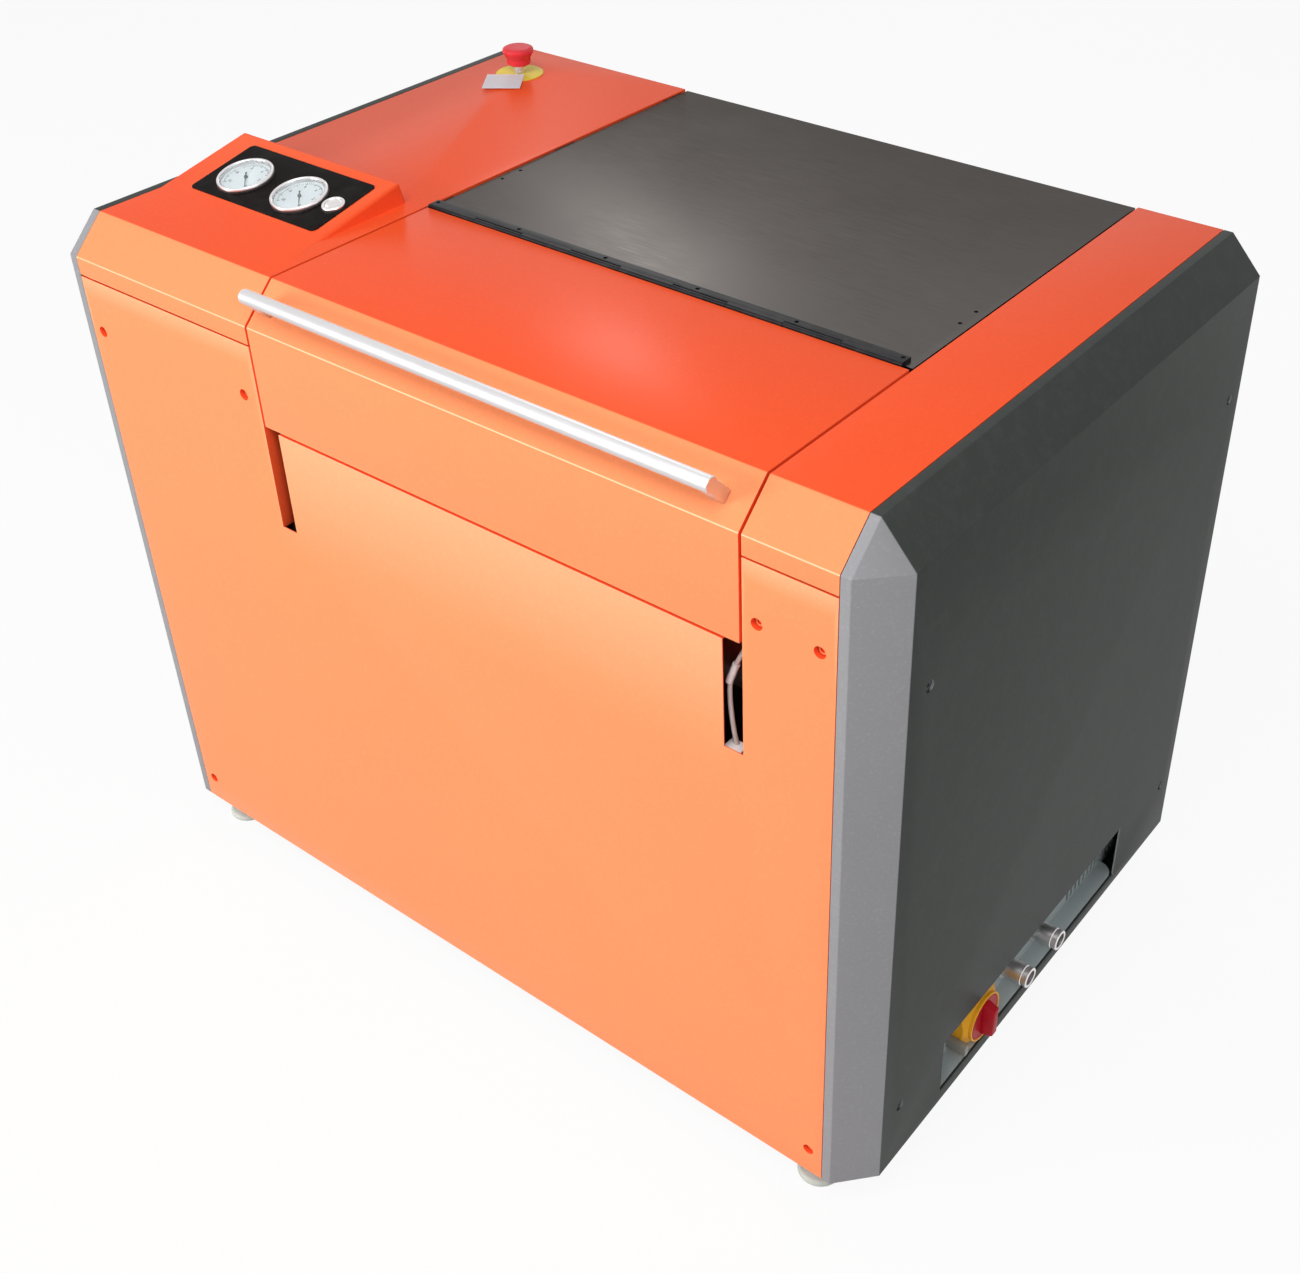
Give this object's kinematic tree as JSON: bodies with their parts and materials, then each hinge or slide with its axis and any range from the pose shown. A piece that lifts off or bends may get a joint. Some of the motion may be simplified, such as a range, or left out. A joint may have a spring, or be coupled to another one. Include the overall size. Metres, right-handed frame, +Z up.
{
  "type": "flexographic platesetter",
  "caption": "Benchtop laser plate imager with sheet-metal housing, hinged front hood, raised gauge console, steel table and side service recess.",
  "frame": {"origin": "middle of the outer box at floor level under the feet", "axes": "+Z up, +X to the right seen from the front, +Y to the back"},
  "size_m": [1.0628, 0.6926, 0.863],
  "materials": {
    "orange_paint": "fine-textured powder coat",
    "grey_paint": "satin textured paint",
    "table_steel": "satin brushed",
    "black_metal": "satin black",
    "black_plastic": "fine matt",
    "black_rubber": "matt",
    "satin_aluminium": "satin anodised",
    "chrome_plate": "polished, lightly worn",
    "machined_steel": "machined",
    "bearing_steel": "ground",
    "brass": "turned",
    "dial_white": "printed card, matt",
    "needle_black": "matt",
    "clear_glass": "clear",
    "stop_yellow": "satin",
    "stop_red": "gloss",
    "switch_yellow": "satin",
    "switch_red": "satin",
    "card_grey": "satin card",
    "frame_paint": "semi-matt",
    "zinc_steel": "zinc plated",
    "foot_white": "matt",
    "screw_black": "blackened",
    "plate_grey": "satin powder coat",
    "white_plastic": "matt",
    "hose_grey": "semi-matt",
    "hose_black": "matt",
    "motor_black": "matt",
    "box_grey": "satin",
    "laser_white": "satin",
    "valve_blue": "matt",
    "tab_grey": "matt"
  },
  "bodies": {
    "machine": {"front_panel": "orange_paint", "left_top_cover": "orange_paint", "right_top_cover": "orange_paint", "left_side_panel": "grey_paint", "right_side_panel": "grey_paint", "back_panel": "grey_paint", "steel_table": "table_steel", "hinge_strip": "black_metal", "hood_bumpers": "black_rubber", "console_fascia": "black_plastic", "gauge_cases": "chrome_plate", "gauge_dials": "dial_white", "gauge_lenses": "clear_glass", "button_bezel": "chrome_plate", "stop_label": "stop_yellow", "stop_body": "chrome_plate", "tag_card": "card_grey", "machine_frame": "frame_paint", "base_tray": "zinc_steel", "foot_pads": "foot_white", "foot_stems": "zinc_steel", "panel_standoffs": "orange_paint", "panel_screws": "screw_black", "left_cheek": "machined_steel", "right_cheek": "machined_steel", "drum_bearings": "bearing_steel", "drive_belt": "black_rubber", "drive_motor": "motor_black", "motor_bracket": "satin_aluminium", "rotary_union": "brass", "axis_bed": "satin_aluminium", "linear_rails": "bearing_steel", "screw_bushes": "brass", "screw_motor": "motor_black", "service_plate": "plate_grey", "switch_housing": "switch_yellow", "padlock_tab": "tab_grey", "hose_ports": "chrome_plate", "port_elbows": "brass", "air_valves": "valve_blue", "air_hoses": "hose_black", "slot_hose": "hose_grey", "slot_hose_fittings": "white_plastic", "control_boxes": "box_grey"},
    "hood": {"hood_cover": "orange_paint", "hinge_leaf": "black_metal", "hood_handle": "satin_aluminium"},
    "drum": {"drum_shell": "satin_aluminium", "drum_shaft": "machined_steel", "drum_pulley": "satin_aluminium", "plate_clamps": "machined_steel"},
    "motor_rotor": {"motor_pulley": "satin_aluminium"},
    "carriage": {"carriage": "satin_aluminium", "laser_head": "laser_white"},
    "lead_screw": {"lead_screw": "bearing_steel"},
    "stop_cap": {"stop_button": "stop_red"},
    "button_cap": {"push_button": "chrome_plate"},
    "switch_rotor": {"switch_knob": "switch_red"},
    "left_pointer": {"left_needle": "needle_black"},
    "right_pointer": {"right_needle": "needle_black"}
  },
  "joints": [
    {"name": "hood_hinge", "type": "hinge", "parent": "machine", "child": "hood", "pos_m": [-0.0064, -0.08529, 0.8295], "axis": [-1, 0, 0], "range_deg": [0, 75]},
    {"name": "drum_spin", "type": "hinge", "parent": "machine", "child": "drum", "pos_m": [0.0736, -0.18529, 0.632], "axis": [1, 0, 0], "continuous": true},
    {"name": "motor_spin", "type": "hinge", "parent": "machine", "child": "motor_rotor", "pos_m": [-0.2924, -0.18529, 0.372], "axis": [1, 0, 0], "continuous": true},
    {"name": "carriage_slide", "type": "slide", "parent": "machine", "child": "carriage", "axis": [1, 0, 0], "range_m": [0, 0.4555]},
    {"name": "screw_spin", "type": "hinge", "parent": "machine", "child": "lead_screw", "pos_m": [-0.0064, 0.03471, 0.587], "axis": [1, 0, 0], "continuous": true},
    {"name": "stop_press", "type": "slide", "parent": "machine", "child": "stop_cap", "axis": [0, 0, -1], "range_m": [0, 0.004], "stiffness_N_per_m": 1500, "springref_m": -0.006},
    {"name": "button_press", "type": "slide", "parent": "machine", "child": "button_cap", "axis": [0, 0.1959, -0.9806], "range_m": [0, 0.002], "stiffness_N_per_m": 900, "springref_m": -0.002},
    {"name": "switch_turn", "type": "hinge", "parent": "machine", "child": "switch_rotor", "pos_m": [0.5236, -0.09429, 0.091], "axis": [1, 0, 0], "range_deg": [0, 90]},
    {"name": "left_pointer_turn", "type": "hinge", "parent": "machine", "child": "left_pointer", "pos_m": [-0.4068, -0.16692, 0.84252], "axis": [0, -0.1959, 0.9806], "range_deg": [0, 270], "stiffness_Nm_per_rad": 0.00002, "springref_deg": -11.46},
    {"name": "right_pointer_turn", "type": "hinge", "parent": "machine", "child": "right_pointer", "pos_m": [-0.3217, -0.16692, 0.84252], "axis": [0, -0.1959, 0.9806], "range_deg": [0, 270], "stiffness_Nm_per_rad": 0.00002, "springref_deg": -11.46}
  ],
  "couplings": [
    {"joint": "motor_spin", "follows": "drum_spin", "ratio": 2.4},
    {"joint": "screw_spin", "follows": "carriage_slide", "rad_per_m": 314.16}
  ]
}
